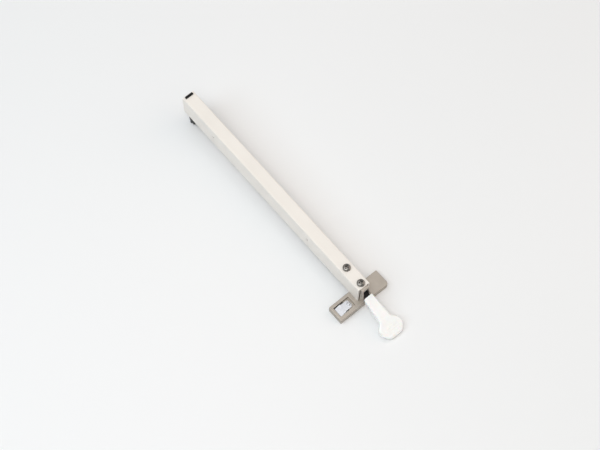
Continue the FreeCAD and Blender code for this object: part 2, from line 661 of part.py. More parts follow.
def lock_nut(label, start):
    """Hexagon nut on the rod, against the shank of a rod eye."""
    blank = doc.addObject("Part::Prism", label + "_blank")
    blank.Polygon = 6
    bind(blank, "Circumradius", "nut_across / 2")
    bind(blank, "Height", "nut_thickness")
    blank.Placement.Rotation = FreeCAD.Rotation(FreeCAD.Vector(0, 1, 0), 90)
    bind(blank, ".Placement.Base.x", start)
    bind(blank, ".Placement.Base.z", "rod_up")
    bore = along_arm(label + "_bore", "rod_diameter + 2 * set_gap", start + " - 1", "nut_thickness + 2")
    return ring(label, blank, bore)


def ring_points(radius, sides, count, rise):
    """Points round a circle, each one further up by a rise."""
    turn = math.tau / sides
    return [FreeCAD.Vector(radius * math.cos(n * turn), radius * math.sin(n * turn), n * rise)
            for n in range(count)]


def return_spring():
    """Coil spring on the rod, between the washer and the collar, in small straight steps."""
    wire_radius = size("spring_wire") / 2
    coil_radius = size("spring_diameter") / 2 - wire_radius
    end_play = size("fit_gap") / 2
    start = size("washer_seat") + size("washer_thickness") + wire_radius + end_play
    height = size("spring_length") - 2 * (wire_radius + end_play)
    steps = int(size("spring_steps"))
    count = steps * int(size("spring_turns"))
    path = Part.makePolygon(ring_points(coil_radius, steps, count + 1, height / count))
    sides = int(size("wire_sides"))
    section = Part.makePolygon(ring_points(wire_radius, sides, sides + 1, 0))
    section.rotate(FreeCAD.Vector(0, 0, 0), FreeCAD.Vector(1, 0, 0), 90)
    section.translate(FreeCAD.Vector(coil_radius, 0, 0))
    spring = doc.addObject("Part::Feature", "return_spring")
    spring.Label = "return_spring"
    spring.Shape = path.makePipeShell([section], True, True, 1)
    spring.Placement = FreeCAD.Placement(FreeCAD.Vector(start, 0, size("rod_up")),
                                         FreeCAD.Rotation(FreeCAD.Vector(0, 1, 0), 90))
    return spring


def claw():
    """Latching claw: a forked crank at the rod, a stop, and an arm out to the pointed nose."""
    body = new_body("claw")
    tip = ("arm_far + claw_nose_set", "base_thickness - claw_nose_drop")
    notch = (tip[0] + " + tooth_run", tip[1] + " + tooth_rise")
    step = (notch[0] + " + step_run", notch[1] + " + step_rise")
    side = new_sketch(body, "side", "XZ_Plane")
    polygon(side, [
        ("claw_across + claw_tail", "ceiling - side_gap"),
        ("claw_across + claw_tail - claw_tail_width", "ceiling - side_gap"),
        ("claw_across - claw_hub / 2", "claw_up + claw_hub"),
        ("arm_far + claw_arm_start", "base_thickness + claw_arm_top"),
        ("arm_far + claw_back_set", "base_thickness + claw_back_rise"),
        tip,
        notch,
        step,
        ("arm_far + claw_foot_start", "base_thickness - claw_arm_foot"),
        ("claw_link_across - claw_boss", "claw_link_up - claw_boss"),
        ("claw_link_across + claw_boss", "claw_link_up - claw_boss"),
        ("claw_link_across + claw_boss", "claw_link_up + claw_boss / 2"),
        ("claw_across + claw_hub", "claw_up - claw_hub / 2"),
    ])
    pad(body, side, "claw_width", symmetric=True)
    tip_height = size("base_thickness") - size("claw_nose_drop")
    round_edges(body, "tip", "claw_tip_round",
                lambda edge: runs_along(edge, 1) and near(edge.CenterOfMass.z, tip_height))
    width = size("claw_width")
    near_end = size("claw_link_across")
    round_edges(body, "corners", "claw_round",
                lambda edge: runs_along(edge, 1) and near(edge.Length, width)
                and edge.CenterOfMass.z > tip_height + 2 * size("claw_tip_round")
                and (edge.CenterOfMass.x > near_end or edge.CenterOfMass.z < size("base_thickness")
                     or edge.CenterOfMass.x < size("arm_far") + size("claw_nose_set")))
    fork = new_sketch(body, "fork", "YZ_Plane", "claw_link_across - eye_diameter / 2 - 2 * side_gap")
    rectangle(fork, "-rear_eye_thickness / 2 - side_gap", "rear_eye_thickness / 2 + side_gap",
              "claw_link_up - 2 * claw_boss", "claw_up - claw_fork_roof")
    pocket(body, fork, "eye_tongue + claw_boss", forward=True)
    for panel_side, sign in (("left", "1"), ("right", "-1")):
        panel = new_sketch(body, panel_side + "_panel", "XZ_Plane", sign + " * claw_width / 2")
        polygon(panel, [
            ("claw_across - 2 * claw_hub", "claw_up - claw_round"),
            ("arm_far + claw_arm_start", "base_thickness + claw_arm_top - 2 * claw_round"),
            ("arm_far + claw_back_set + 3 * claw_round", "base_thickness + claw_back_rise - claw_round"),
            ("arm_far + claw_arm_start", "base_thickness + 2 * claw_round"),
            ("claw_across - 2 * claw_hub", "base_thickness + claw_boss"),
        ])
        pocket(body, panel, "claw_panel_depth", forward=(panel_side == "right"))
    holes = new_sketch(body, "holes", "XZ_Plane")
    circle(holes, "claw_across", "claw_up", "guide_pin + 2 * running_gap")
    circle(holes, "claw_link_across", "claw_link_up", "link_pin + 2 * set_gap")
    pocket(body, holes)
    return body


def lever_core():
    """Black lever: a hub between the cheeks, a forked crank below it and a tongue for the grip."""
    body = new_body("lever_core")
    half = "lever_hub / 2"
    slope = "sin(lever_droop) / cos(lever_droop)"
    tongue = "tongue_thickness / 2 / cos(lever_droop)"
    end = "tongue_length * cos(lever_droop)"
    boss = "eye_diameter / 2"
    side = new_sketch(body, "side", "XZ_Plane")
    polygon(side, [
        ("lever_across - " + half, "lever_up + lever_hub / 4"),
        ("lever_across - lever_hub / 4", "lever_up + " + half),
        ("lever_across + lever_hub / 4", "lever_up + " + half),
        ("lever_across + lever_hub", "lever_up - lever_hub * " + slope + " + " + tongue),
        ("lever_across + " + end, "lever_up - tongue_length * sin(lever_droop) + " + tongue),
        ("lever_across + " + end, "lever_up - tongue_length * sin(lever_droop) - " + tongue),
        ("lever_across + lever_hub", "lever_up - lever_hub * " + slope + " - " + tongue),
        ("lever_link_across + " + boss, "lever_link_up + " + boss),
        ("lever_link_across + " + boss, "lever_link_up - " + boss + " / 2"),
        ("lever_link_across + " + boss + " / 2", "lever_link_up - " + boss),
        ("lever_link_across - " + boss + " / 2", "lever_link_up - " + boss),
        ("lever_link_across - " + boss, "lever_link_up - " + boss + " / 2"),
        ("lever_across - " + half, "lever_up - lever_hub / 4"),
    ])
    pad(body, side, "hub_width", symmetric=True)
    fork = new_sketch(body, "fork", "YZ_Plane", "lever_link_across + 2 * " + boss)
    rectangle(fork, "-front_eye_thickness / 2 - side_gap", "front_eye_thickness / 2 + side_gap",
              "lever_link_up - eye_diameter", "lever_link_up + " + boss + " + side_gap")
    pocket(body, fork, "4 * eye_diameter")
    holes = new_sketch(body, "holes", "XZ_Plane")
    circle(holes, "lever_across", "lever_up", "lever_pin + 2 * running_gap")
    circle(holes, "lever_link_across", "lever_link_up", "link_pin + 2 * set_gap")
    pocket(body, holes)
    tabs = new_sketch(body, "tabs", "XZ_Plane")
    for number in range(2):
        middle = "(tab_first + %d * tab_spacing)" % number
        corners = []
        for along, over in (("-", "-"), ("+", "-"), ("+", "+"), ("-", "+")):
            run = "(" + middle + " " + along + " tab_length / 2)"
            rise = "(" + over + " tab_height / 2)"
            corners.append((
                "lever_across + " + run + " * cos(lever_droop) + " + rise + " * sin(lever_droop)",
                "lever_up - " + run + " * sin(lever_droop) + " + rise + " * cos(lever_droop)",
            ))
        polygon(tabs, corners)
    pad(body, tabs, "hub_width + 2 * tab_rise", symmetric=True)
    return body


def grip_outline(body):
    """The grip's blank: its side profile, cut to the neck and paddle seen from above."""
    side = new_sketch(body, "side", "XZ_Plane")
    polygon(side, [
        ("grip_start_low", "-grip_neck_bottom"),
        ("grip_neck_end", "-grip_neck_bottom"),
        ("grip_tip", "-grip_tip_bottom"),
        ("grip_tip", "grip_tip_top"),
        ("grip_neck_end", "grip_neck_top"),
        ("grip_start", "grip_neck_top"),
    ])
    pad(body, side, "grip_paddle_width", symmetric=True)
    throat = size("grip_neck_end")
    round_edges(body, "bend", "grip_bend",
                lambda edge: runs_along(edge, 1) and near(edge.CenterOfMass.x, throat))
    plan = new_sketch(body, "plan", "XY_Plane")
    for sign in ("", "-"):
        edge = "%sgrip_paddle_width" % sign
        polygon(plan, [
            ("grip_start - 1", "%sgrip_neck_start_width / 2" % sign),
            ("grip_start", "%sgrip_neck_start_width / 2" % sign),
            ("grip_neck_end", "%sgrip_neck_width / 2" % sign),
            ("grip_shoulder", edge + " / 2"),
            ("grip_full_end", edge + " / 2"),
            ("grip_tip", "%sgrip_tip_width / 2" % sign),
            ("grip_tip + 1", "%sgrip_tip_width / 2" % sign),
            ("grip_tip + 1", edge),
            ("grip_start - 1", edge),
        ])
    pocket(body, plan)
    round_edges(body, "throat", "grip_throat_round",
                lambda edge: runs_along(edge, 2) and near(edge.CenterOfMass.x, throat))
    round_edges(body, "paddle", "grip_plan_round",
                lambda edge: runs_along(edge, 2) and edge.CenterOfMass.x > size("grip_shoulder") - 0.01)


def lever_grip():
    """White grip: a neck that widens to a ribbed thumb paddle, snapped over the lever's tongue."""
    body = new_body("lever_grip")
    grip_outline(body)
    start = size("grip_start_low")
    tip = size("grip_tip")

    def on_rim(edge):
        box = edge.BoundBox
        across = runs_along(edge, 1) and box.XMax < tip
        return box.ZMin * box.ZMax > 0 and box.XMax > start + 0.01 and not across
    round_edges(body, "rims", "grip_round", on_rim)
    ribs = new_sketch(body, "ribs", "XZ_Plane")
    fall = "(grip_neck_top - grip_tip_top) / (grip_tip - grip_neck_end)"
    for number in range(int(size("rib_count"))):
        middle = "(rib_first + %d * rib_spacing)" % number
        surface = "(grip_neck_top - (" + middle + " - grip_neck_end) * " + fall + ")"
        rectangle(ribs, middle + " - rib_width / 2", middle + " + rib_width / 2",
                  surface + " - rib_width", surface + " + rib_rise")
    pad(body, ribs, "rib_length", symmetric=True)
    socket = new_sketch(body, "socket", "YZ_Plane", "grip_start")
    rectangle(socket, "-hub_width / 2 - fit_gap", "hub_width / 2 + fit_gap",
              "-tongue_thickness / 2 - fit_gap", "tongue_thickness / 2 + fit_gap")
    pocket(body, socket, "tongue_length + tongue_thickness - grip_start", forward=True)
    slots = new_sketch(body, "slots", "XZ_Plane")
    for number in range(2):
        middle = "(tab_first + %d * tab_spacing)" % number
        rectangle(slots, middle + " - tab_length / 2 - fit_gap", middle + " + tab_length / 2 + fit_gap",
                  "-tab_height / 2 - fit_gap", "tab_height / 2 + fit_gap")
    pocket(body, slots)
    bind(body, ".Placement.Base.x", "lever_across")
    bind(body, ".Placement.Base.z", "lever_up")
    bind(body, ".Placement.Rotation.Angle", "lever_droop")
    body.Placement.Rotation = FreeCAD.Rotation(FreeCAD.Vector(0, 1, 0), size("lever_droop"))
    return body


def end_plug():
    """Nylon plug under the arm's top wall, with a tab that snaps up through its slot."""
    body = new_body("end_plug")
    block = new_sketch(body, "block", "XZ_Plane")
    rectangle(block, "arm_far", "arm_far + plug_length", "ceiling - plug_thickness", "ceiling")
    pad(body, block, "arm_room - fit_gap", symmetric=True)
    top = size("ceiling")
    round_edges(body, "top_corners", "arm_inner_corner + fit_gap",
                lambda edge: runs_along(edge, 0) and near(edge.CenterOfMass.z, top))
    tab = new_sketch(body, "tab", "XZ_Plane")
    rectangle(tab, "arm_far + plug_tab_set", "arm_far + plug_tab_set + plug_tab_length",
              "ceiling - arm_wall", "arm_top + plug_tab_rise")
    pad(body, tab, "plug_tab_width", symmetric=True)
    tab_top = size("arm_top") + size("plug_tab_rise")
    round_edges(body, "tab_edges", "plug_edge", lambda edge: near(edge.BoundBox.ZMin, tab_top))
    return body


def make_nodes():
    """Every sub-part, under the name of its node."""
    walls = "arm_room - 2 * pin_recess"
    washer = along_arm("washer_blank", "washer_diameter", "washer_seat", "washer_thickness")
    washer_bore = along_arm("washer_bore", "rod_diameter + 2 * side_gap", "washer_seat - 1",
                            "washer_thickness + 2")
    collar = along_arm("collar_blank", "washer_diameter", "collar_seat", "collar_length")
    collar_bore = along_arm("collar_bore", "rod_diameter + 2 * set_gap", "collar_seat - 1",
                            "collar_length + 2")
    rod_start = "claw_link_across + eye_tongue + rod_end"
    rod = along_arm("push_rod", "rod_diameter", rod_start,
                    "lever_link_across - claw_link_across - 2 * (eye_tongue + rod_end)")
    rod.Label = "push_rod"
    return [
        arm_channel(),
        tee_bracket(),
        top_screw("front_top_screw", "front_screw"),
        top_screw("rear_top_screw", "rear_screw"),
        leaf_plate(),
        leaf_rivet(),
        cross_pin("lever_pivot_pin", "lever_pin", walls, "lever_across", "lever_up"),
        rod_guide("front_rod_guide", "front_guide", "front_guide_length", True),
        rod_guide("rear_rod_guide", "rear_guide", "rear_guide_length", False),
        rolled_pin("guide_pin", "front_guide", "claw_up"),
        rolled_pin("claw_pivot_pin", "claw_across", "claw_up"),
        ring("spring_washer", washer, washer_bore),
        end_plug(),
        lever_core(),
        lever_grip(),
        cross_pin("lever_link_pin", "link_pin", "hub_width - fit_gap", "lever_link_across", "lever_link_up"),
        rod,
        rod_eye("front_rod_eye", "lever_link_across", -1, "front_eye_thickness"),
        rod_eye("rear_rod_eye", "claw_link_across", 1, "rear_eye_thickness"),
        lock_nut("front_lock_nut", "lever_link_across - eye_tongue - eye_shank - nut_thickness"),
        lock_nut("rear_lock_nut", "claw_link_across + eye_tongue + eye_shank"),
        ring("spring_collar", collar, collar_bore),
        return_spring(),
        claw(),
        cross_pin("claw_link_pin", "link_pin", "claw_width - fit_gap", "claw_link_across", "claw_link_up"),
    ]


def check(nodes):
    """Stop if any object failed to build or any sub-part is not one valid solid."""
    for item in doc.Objects:
        if "Invalid" in item.State or "Error" in item.State:
            raise RuntimeError(item.Name + " failed to build")
    for node in nodes:
        if node.Shape.isNull() or not node.Shape.isValid() or len(node.Shape.Solids) != 1:
            raise RuntimeError(node.Label + " is not one valid solid")


fill_sheet()
made = make_nodes()
doc.recompute()
check(made)
os.makedirs("parts", exist_ok=True)
for node in made:
    node.Shape.exportStep("parts/%s.step" % node.Label)
    print("%-18s %9.1f mm3" % (node.Label, node.Shape.Volume))
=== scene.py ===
# %% [markdown]
# # Dressing a gate opener arm
# The metal and plastic parts come from CAD as a fixed frame, already in place and at real size.
# This lesson gives each of them a surface, adds the small pieces that CAD leaves plain, and sets
# the floor, the light and the camera. Everything is in metres.

# %% Load the frame
import math

import bmesh
import bpy
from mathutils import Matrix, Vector


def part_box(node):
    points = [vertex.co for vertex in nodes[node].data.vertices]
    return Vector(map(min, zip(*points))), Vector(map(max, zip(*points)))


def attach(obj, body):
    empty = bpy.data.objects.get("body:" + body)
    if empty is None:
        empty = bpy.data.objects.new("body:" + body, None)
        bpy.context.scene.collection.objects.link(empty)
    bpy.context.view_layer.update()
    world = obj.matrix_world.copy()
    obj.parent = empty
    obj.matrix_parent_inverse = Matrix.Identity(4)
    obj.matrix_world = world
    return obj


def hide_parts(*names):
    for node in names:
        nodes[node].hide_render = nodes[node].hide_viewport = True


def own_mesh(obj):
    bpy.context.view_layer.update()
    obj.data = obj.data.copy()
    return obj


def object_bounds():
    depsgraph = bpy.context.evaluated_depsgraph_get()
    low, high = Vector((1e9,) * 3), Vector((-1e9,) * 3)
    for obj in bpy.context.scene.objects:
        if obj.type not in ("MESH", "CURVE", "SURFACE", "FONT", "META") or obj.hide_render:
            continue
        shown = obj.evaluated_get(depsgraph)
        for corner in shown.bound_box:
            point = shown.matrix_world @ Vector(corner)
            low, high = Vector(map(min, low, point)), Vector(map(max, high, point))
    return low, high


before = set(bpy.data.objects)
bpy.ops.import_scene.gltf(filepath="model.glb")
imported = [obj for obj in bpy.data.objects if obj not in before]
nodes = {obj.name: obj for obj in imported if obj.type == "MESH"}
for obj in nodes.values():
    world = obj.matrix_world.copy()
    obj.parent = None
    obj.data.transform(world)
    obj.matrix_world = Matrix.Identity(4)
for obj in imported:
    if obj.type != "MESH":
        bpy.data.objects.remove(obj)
cad_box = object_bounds()
MM = 0.001

# %% [markdown]
# ## Camera
# The camera comes first, because every later choice is judged through it. It looks down steeply
# over the thumb lever's end, from about a metre and a half away, through a long lens, so the arm
# hardly narrows towards its far end. Its place was worked out from the edges of the two feet,
# which stand square to the arm.

# %% Set the camera
camera_data = bpy.data.cameras.new("camera")
camera_data.sensor_width = 36.0
camera_data.lens = 90.03
camera_data.clip_end = 20.0
camera = bpy.data.objects.new("camera", camera_data)
camera.location = (0.37586, -0.39985, 1.48892)
camera.rotation_euler = (math.radians(22.846), 0.0, math.radians(49.879))
bpy.context.scene.collection.objects.link(camera)
bpy.context.scene.camera = camera
print("camera is", round(camera.location.length, 3), "m from the bracket")

# %% [markdown]
# ## Helpers for materials
# Colours are written as the hex values that a paint chart would give. Shaders work in linear
# light, so one function turns them. A second small function adds a node, sets its sockets by
# name and links what comes in. What is the same all over a material is set on its shader, and
# what varies comes in through nodes. Pattern sizes are given in millimetres.


# %% Colour and node helpers
def linear(code):
    """An sRGB hex colour as linear red, green, blue and alpha."""
    parts = [int(code[n:n + 2], 16) / 255 for n in (1, 3, 5)]
    return [c / 12.92 if c <= 0.04045 else ((c + 0.055) / 1.055) ** 2.4 for c in parts] + [1.0]


def add(tree, kind, links=None, **settings):
    """Add a node. Settings are its own values; links maps a socket to a value or to an output."""
    node = tree.nodes.new("ShaderNode" + kind)
    for name, value in settings.items():
        setattr(node, name, value)
    for socket, value in (links or {}).items():
        if isinstance(value, bpy.types.NodeSocket):
            tree.links.new(value, node.inputs[socket])
        else:
            node.inputs[socket].default_value = value
    return node


def new_material(name, **sockets):
    """A material with one main shader, and the sockets that are the same all over it."""
    made = bpy.data.materials.new(name)
    made.use_nodes = True
    tree = made.node_tree
    shader = tree.nodes["Principled BSDF"]
    for socket, value in sockets.items():
        shader.inputs[socket.replace("_", " ")].default_value = value
    return made, tree, shader


def ramp(tree, factor, stops):
    """A colour ramp through the given places and hex colours."""
    node = add(tree, "ValToRGB", {"Fac": factor})
    band = node.color_ramp.elements
    for element, (place, code) in zip(band, stops):
        element.position = place
        element.color = linear(code)
    return node.outputs["Color"]


def per_metre(millimetres):
    """The noise scale whose features measure about this many millimetres."""
    return 1.0 / (millimetres * MM)


def dress(name, made):
    """Give a CAD node its finish."""
    data = nodes[name].data
    data.materials.clear()
    data.materials.append(made)
    print(name, "is", made.name)


print("helpers ready; mid grey is", round(linear("#808080")[0], 3), "in linear light")

# %% [markdown]
# ## Powder-coated aluminium
# The channel is extruded aluminium, sprayed with off-white polyester powder and baked. Baked
# powder flows out to a soft satin film with a very shallow orange peel, about 1.2 mm from crest
# to crest. A photographed texture would do it too, but noise in object space keeps its scale from
# every side. Here the peel is drawn twice as coarse as it is, so that it shows.

# %% Powder-coated aluminium
powder, tree, shader = new_material("powder_coated_aluminium", Roughness=0.3, IOR=1.5)
place = add(tree, "TexCoord").outputs["Object"]
cloud = add(tree, "TexNoise", {"Vector": place, "Scale": per_metre(38), "Detail": 2.0})
tint = ramp(tree, cloud.outputs["Fac"], [(0.3, "#ece6de"), (0.7, "#f0eae2")])
tree.links.new(tint, shader.inputs["Base Color"])
peel = add(tree, "TexNoise", {"Vector": place, "Scale": per_metre(2.4), "Detail": 1.0})
dimple = add(tree, "Bump", {"Height": peel.outputs["Fac"], "Strength": 0.12, "Distance": 0.05 * MM})
tree.links.new(dimple.outputs["Normal"], shader.inputs["Normal"])
dress("arm_channel", powder)

# %% [markdown]
# ## Satin nickel on die-cast zinc
# The bracket is cast in zinc, tumbled with stones and nickel plated. Tumbling leaves a fine even
# frosting with no direction, and wears the corners a little brighter than the faces. Nickel is
# a warm grey. The frosting is a grain of 0.25 mm, drawn at 0.6 mm. The brighter corners come
# from a bevel node: where its rounded normal parts from the true one, the surface is near an edge.

# %% Satin nickel
nickel, tree, shader = new_material("satin_nickel_cast_zinc", Metallic=0.8)
place = add(tree, "TexCoord").outputs["Object"]
cloud = add(tree, "TexNoise", {"Vector": place, "Scale": per_metre(14), "Detail": 3.0})
tone = ramp(tree, cloud.outputs["Fac"], [(0.3, "#aea69c"), (0.7, "#b8b0a6")])
rounded = add(tree, "Bevel", {"Radius": 0.5 * MM}, samples=4).outputs["Normal"]
flat = add(tree, "NewGeometry").outputs["Normal"]
parting = add(tree, "VectorMath", {0: rounded, 1: flat}, operation="DOT_PRODUCT").outputs["Value"]
# The two normals agree on a face. They part by 8 degrees where the wear starts and by 32 at an edge.
near_edge = add(tree, "MapRange", {"Value": parting, "From Min": 0.99, "From Max": 0.85}).outputs[0]
# In a mix of colours, 0 is the factor, 6 and 7 are the two colours and output 2 is the result.
worn = add(tree, "Mix", {0: near_edge, 6: tone, 7: linear("#c9c2b8")}, data_type="RGBA").outputs[2]
tree.links.new(worn, shader.inputs["Base Color"])
grain = add(tree, "TexNoise", {"Vector": place, "Scale": per_metre(0.6), "Detail": 2.0}).outputs["Fac"]
matt = add(tree, "MapRange", {"Value": grain, "To Min": 0.42, "To Max": 0.56}).outputs[0]
tree.links.new(matt, shader.inputs["Roughness"])
frost = add(tree, "Bump", {"Height": grain, "Strength": 0.2, "Distance": 0.04 * MM})
tree.links.new(frost.outputs["Normal"], shader.inputs["Normal"])
dress("tee_bracket", nickel)

# %% [markdown]
# ## Plated and ground steel
# The screws are dark nickel, tumbled smooth. The leaf plate is rolled sheet with a bright zinc
# plate, so the mill's fine lines still show through it. Pins and rod are centreless ground, with
# hair lines round them. One function makes all of them: a base colour that drifts a little, a
# roughness that follows stretched noise, and the same noise as a faint bump. Real rolling lines
# are under 0.1 mm apart. They are drawn at about 0.4 mm here.


# %% Steel finishes
def steel(name, pale, dark, low, high, stretch, line_mm=0.4):
    """Plated or ground steel, its fine lines drawn long in the directions with a small stretch."""
    made, tree, shader = new_material(name, Metallic=1.0)
    place = add(tree, "TexCoord").outputs["Object"]
    drawn = add(tree, "Mapping", {"Vector": place, "Scale": stretch}).outputs["Vector"]
    lines = add(tree, "TexNoise", {"Vector": drawn, "Scale": per_metre(line_mm), "Detail": 2.0})
    cloud = add(tree, "TexNoise", {"Vector": place, "Scale": per_metre(6), "Detail": 2.0})
    tint = ramp(tree, cloud.outputs["Fac"], [(0.3, dark), (0.7, pale)])
    tree.links.new(tint, shader.inputs["Base Color"])
    matt = add(tree, "MapRange", {"Value": lines.outputs["Fac"], "To Min": low, "To Max": high})
    tree.links.new(matt.outputs[0], shader.inputs["Roughness"])
    fine = add(tree, "Bump", {"Height": lines.outputs["Fac"], "Strength": 0.15, "Distance": 0.02 * MM})
    tree.links.new(fine.outputs["Normal"], shader.inputs["Normal"])
    return made


dark_nickel = steel("dark_nickel_tumbled_steel", "#96928d", "#827e79", 0.12, 0.2, (1, 1, 1))
bright_zinc = steel("bright_zinc_rolled_steel", "#cccdd0", "#c0c1c5", 0.1, 0.18, (1, 0.06, 1))
ground_steel = steel("ground_steel", "#a6a6a8", "#929396", 0.22, 0.36, (1, 0.1, 0.1))
spring_steel = steel("oiled_spring_steel", "#8e8f92", "#77787c", 0.25, 0.4, (1, 1, 1))
black_steel = steel("black_oxide_spring_steel", "#333336", "#262628", 0.3, 0.45, (1, 1, 1))
for name in ("front_top_screw", "rear_top_screw"):
    dress(name, dark_nickel)
for name in ("leaf_plate", "leaf_rivet", "spring_washer", "spring_collar",
             "front_lock_nut", "rear_lock_nut"):
    dress(name, bright_zinc)
for name in ("lever_pivot_pin", "lever_link_pin", "claw_link_pin",
             "push_rod", "front_rod_eye", "rear_rod_eye"):
    dress(name, ground_steel)
for name in ("guide_pin", "claw_pivot_pin"):
    dress(name, black_steel)

# %% [markdown]
# ## Black glass-filled nylon
# The claw, the guides, the plug and the lever under the grip are moulded nylon with short glass
# fibres. The fibres lie near the skin and give it a dull, slightly cloudy black with pale specks
# of about 0.3 mm. They are drawn at 0.7 mm, and only just lighter than the rest.

# %% Black nylon
nylon, tree, shader = new_material("black_glass_filled_nylon", IOR=1.53, Specular_IOR_Level=0.25)
place = add(tree, "TexCoord").outputs["Object"]
speck = add(tree, "TexVoronoi", {"Vector": place, "Scale": per_metre(0.7)}).outputs["Distance"]
tree.links.new(ramp(tree, speck, [(0.05, "#1f1f20"), (0.3, "#0e0e0f")]), shader.inputs["Base Color"])
skin = add(tree, "TexNoise", {"Vector": place, "Scale": per_metre(1.1), "Detail": 3.0}).outputs["Fac"]
matt = add(tree, "MapRange", {"Value": skin, "To Min": 0.42, "To Max": 0.62}).outputs[0]
tree.links.new(matt, shader.inputs["Roughness"])
spark = add(tree, "Bump", {"Height": skin, "Strength": 0.25, "Distance": 0.04 * MM})
tree.links.new(spark.outputs["Normal"], shader.inputs["Normal"])
for name in ("front_rod_guide", "rear_rod_guide", "end_plug", "lever_core", "claw"):
    dress(name, nylon)

# %% [markdown]
# ## White ABS
# The grip is injection-moulded ABS from a polished mould: glossy, clean white, a touch warm. Thin
# plastic lets some light in, which softens its shadows, so it gets a little subsurface scattering
# over 1.5 mm. Handling leaves very faint differences in gloss, about 5 mm across.

# %% White ABS
abs_white, tree, shader = new_material(
    "white_moulded_abs", IOR=1.54, Subsurface_Weight=0.12, Subsurface_Scale=1.5 * MM)
place = add(tree, "TexCoord").outputs["Object"]
touch = add(tree, "TexNoise", {"Vector": place, "Scale": per_metre(5), "Detail": 3.0}).outputs["Fac"]
tree.links.new(ramp(tree, touch, [(0.3, "#f8f8f5"), (0.7, "#fbfbf9")]), shader.inputs["Base Color"])
matt = add(tree, "MapRange", {"Value": touch, "To Min": 0.16, "To Max": 0.26}).outputs[0]
tree.links.new(matt, shader.inputs["Roughness"])
sink = add(tree, "Bump", {"Height": touch, "Strength": 0.08, "Distance": 0.05 * MM})
tree.links.new(sink.outputs["Normal"], shader.inputs["Normal"])
dress("lever_grip", abs_white)

# %% [markdown]
# ## Return spring
# The spring sits on the rod between a washer and a collar. In CAD it is drawn with flat steps to
# stay light. Here its wire is swept as a smooth tube round a helix, with closed end turns as a
# real compression spring has. The piece rides on the arm, at the length CAD gives it.


# %% Mesh helpers
def finished(name, mesh, sharp_degrees=40):
    """Turn a working mesh into an object with smooth faces and sharp creases."""
    data = bpy.data.meshes.new(name)
    mesh.to_mesh(data)
    mesh.free()
    data.shade_smooth()
    data.set_sharp_from_angle(angle=math.radians(sharp_degrees))
    made = bpy.data.objects.new(name, data)
    bpy.context.scene.collection.objects.link(made)
    return made


def tube(name, path, radius, sides=12):
    """A round tube through the points, closed at both ends."""
    mesh = bmesh.new()
    rings = []
    side = Vector((0, 0, 1))
    for number, point in enumerate(path):
        ahead = path[min(number + 1, len(path) - 1)] - path[max(number - 1, 0)]
        ahead.normalize()
        side = (side - ahead * side.dot(ahead)).normalized()
        other = ahead.cross(side)
        rings.append([])
        for n in range(sides):
            turn = math.tau * n / sides
            spoke = side * math.cos(turn) + other * math.sin(turn)
            rings[-1].append(mesh.verts.new(point + radius * spoke))
    for first, second in zip(rings, rings[1:]):
        for n in range(sides):
            after = (n + 1) % sides
            mesh.faces.new((first[n], first[after], second[after], second[n]))
    mesh.faces.new(rings[0][::-1])
    mesh.faces.new(rings[-1])
    bmesh.ops.recalc_face_normals(mesh, faces=mesh.faces)
    return finished(name, mesh)

# %% Wind the spring
WIRE_RADIUS = 0.4 * MM
TURNS = 9
CLOSED_TURNS = 0.9
STEPS_PER_TURN = 40
low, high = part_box("return_spring")
centre = (low + high) / 2
coil = (high.y - low.y) / 2 - WIRE_RADIUS
start, end = low.x + WIRE_RADIUS, high.x - WIRE_RADIUS
path = []
for step in range(TURNS * STEPS_PER_TURN + 1):
    share = step / (TURNS * STEPS_PER_TURN)
    # Closed turns lie wire on wire at both ends, and the open ones share the length between.
    open_share = min(max((share * TURNS - CLOSED_TURNS) / (TURNS - 2 * CLOSED_TURNS), 0), 1)
    closed = min(share * TURNS, CLOSED_TURNS) + max(share * TURNS - TURNS + CLOSED_TURNS, 0)
    open_length = end - start - 2 * CLOSED_TURNS * 2 * WIRE_RADIUS
    x = start + closed * 2 * WIRE_RADIUS + open_share * open_length
    angle = share * TURNS * math.tau
    path.append(Vector((x, centre.y + coil * math.sin(angle), centre.z + coil * math.cos(angle))))
spring = tube("return_spring_wound", path, WIRE_RADIUS)
spring.data.materials.append(spring_steel)
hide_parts("return_spring")
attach(spring, "arm")
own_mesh(spring)
print("spring of", TURNS, "turns,", round((end - start) / MM, 1), "mm long")

# %% [markdown]
# ## Screws
# The two screws are the sharpest detail of the picture: a domed rim that mirrors the lamps and a
# cross recess that stays black. The recess of a real driver bit is tapered, so it is drawn as one
# here: its arms slope in at their ends and meet in a deep middle. The head is a height field on a
# square grid bent into a disc, which keeps the cells even under the cross, and rings carry on from
# its edge over the dome and down the thread. The thread is a true helix: the radius follows both
# the depth and the angle.

# %% Sizes of the screws
RECESS_REACH = 2.3 * MM
RECESS_HALF_WIDTH = 0.62 * MM
RECESS_DEPTH = 2.1 * MM
RECESS_END_SLOPE = 2.4
RECESS_WALL = 0.16 * MM
DOME_DROP = 0.25 * MM
RIM_ROUND = 2.0 * MM
RIM_FOOT = 0.6 * MM
RIM_RINGS = 8
FIELD_PAST_RIM = 0.2 * MM
THREAD_RADIUS = 2.5 * MM
THREAD_PITCH = 0.8 * MM
THREAD_DEPTH = 0.35 * MM
THREAD_RINGS = 4
CELLS = 32


def recess_depth(x, y):
    """Depth of the cross recess at a point of the head."""
    deepest = 0.0
    for along, across in ((abs(x), abs(y)), (abs(y), abs(x))):
        slope = min((RECESS_REACH - along) * RECESS_END_SLOPE, RECESS_DEPTH)
        wall = min((RECESS_HALF_WIDTH - across) / RECESS_WALL, 1.0)
        deepest = max(deepest, slope * max(wall, 0.0)) if slope > 0 else deepest
    return deepest


